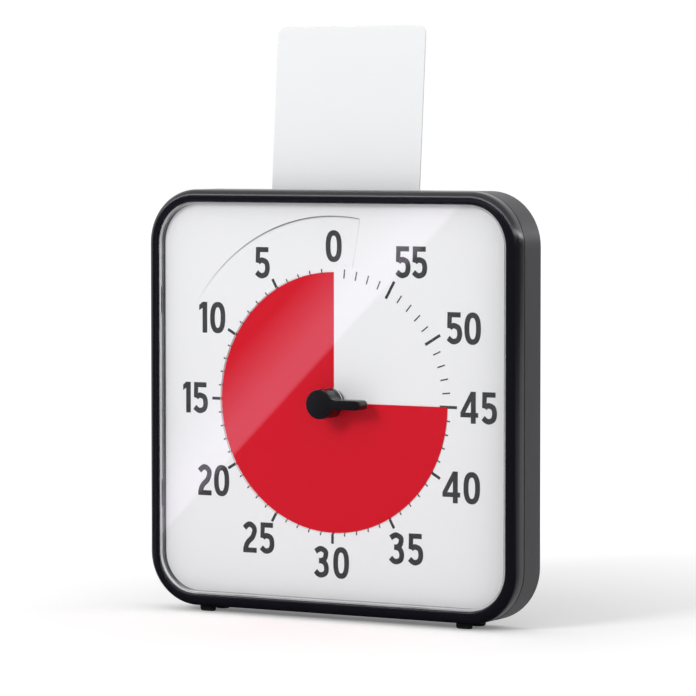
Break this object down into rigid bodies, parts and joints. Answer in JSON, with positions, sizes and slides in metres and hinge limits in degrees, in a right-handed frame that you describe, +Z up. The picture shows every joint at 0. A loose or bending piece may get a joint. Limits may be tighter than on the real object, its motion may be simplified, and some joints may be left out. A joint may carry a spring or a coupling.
{
  "type": "visual countdown timer",
  "caption": "Square desk timer with a red disc that shows the time left on a numbered dial, a central setting knob and a dry-erase card slot.",
  "frame": {"origin": "middle of the footprint, at the height of the surface that the feet stand on", "axes": "+X right seen from the front, +Y to the rear, +Z up; the dial faces -Y"},
  "size_m": [0.305, 0.0516, 0.4272],
  "materials": {
    "bezel_black": "gloss",
    "cover_grey": "satin",
    "clear_lens": "polished",
    "dial_white": "matte",
    "film_red": "satin",
    "knob_black": "satin",
    "card_white": "satin",
    "rubber_black": "matte",
    "steel": "plated",
    "brass": "turned",
    "gear_white": "natural",
    "gear_amber": "natural",
    "movement_plastic": "matte",
    "magnet_grey": "sintered",
    "copper": "enamelled",
    "board_green": "solder mask",
    "chip_black": "moulded",
    "battery_body": "wrapped"
  },
  "bodies": {
    "case": {"front_bezel": "bezel_black", "rear_cover": "cover_grey", "lens": "clear_lens", "dial_face": "dial_white", "movement_plate": "movement_plastic", "movement_case": "movement_plastic", "stator": "steel", "coil_core": "steel", "coil_bobbin": "gear_white", "coil_winding": "copper", "movement_screws": "steel", "circuit_board": "board_green", "control_chip": "chip_black", "quartz_crystal": "steel", "buzzer": "chip_black", "switch_body": "chip_black", "battery": "battery_body", "battery_box": "movement_plastic", "battery_contact_plus": "steel", "battery_contact_minus": "steel", "card_sleeve": "movement_plastic", "case_screws": "steel", "foot_front_left": "rubber_black", "foot_front_right": "rubber_black", "foot_rear_left": "rubber_black", "foot_rear_right": "rubber_black"},
    "dial_drive": {"setting_knob": "knob_black", "spindle": "brass", "spindle_clip": "steel", "clutch_washer": "steel", "centre_wheel": "gear_white"},
    "time_disc": {"film_disc": "film_red", "disc_hub": "gear_white"},
    "third_arbor": {"third_wheel": "gear_amber"},
    "second_arbor": {"second_wheel": "gear_white"},
    "rotor_arbor": {"rotor": "gear_amber", "rotor_magnet": "magnet_grey"},
    "card": {"dry_erase_card": "card_white"},
    "alert_slider": {"alert_switch": "knob_black"},
    "door": {"battery_door": "cover_grey"}
  },
  "joints": [
    {"name": "knob_turn", "type": "hinge", "parent": "case", "child": "dial_drive", "pos_m": [0, -0.00515, 0.1567], "axis": [0, -1, 0], "range_deg": [-270, 90]},
    {"name": "disc_travel", "type": "slide", "parent": "dial_drive", "child": "time_disc", "axis": [0, -1, 0], "range_m": [-0.00136, 0.00046]},
    {"name": "third_turn", "type": "hinge", "parent": "case", "child": "third_arbor", "pos_m": [-0.01474, -0.00515, 0.14638], "axis": [0, -1, 0], "range_deg": [-452, 1352]},
    {"name": "second_turn", "type": "hinge", "parent": "case", "child": "second_arbor", "pos_m": [-0.01224, -0.00515, 0.13219], "axis": [0, -1, 0], "range_deg": [-6760, 2260]},
    {"name": "rotor_turn", "type": "hinge", "parent": "case", "child": "rotor_arbor", "pos_m": [-0.00097, -0.00515, 0.12809], "axis": [0, -1, 0], "range_deg": [-9020, 27020]},
    {"name": "card_slide", "type": "slide", "parent": "case", "child": "card", "axis": [0, 0.0799, 0.9968], "range_m": [0, 0.028]},
    {"name": "alert_slide", "type": "slide", "parent": "case", "child": "alert_slider", "axis": [1, 0, 0], "range_m": [0, 0.003]},
    {"name": "door_hinge", "type": "hinge", "parent": "case", "child": "door", "pos_m": [0, 0.02475, 0.0711], "axis": [-1, 0, 0], "range_deg": [0, 100]}
  ],
  "couplings": [
    {"joint": "disc_travel", "follows": "knob_turn", "m_per_rad": 0.00028648},
    {"joint": "third_turn", "follows": "knob_turn", "ratio": -5},
    {"joint": "second_turn", "follows": "knob_turn", "ratio": 25},
    {"joint": "rotor_turn", "follows": "knob_turn", "ratio": -100}
  ]
}
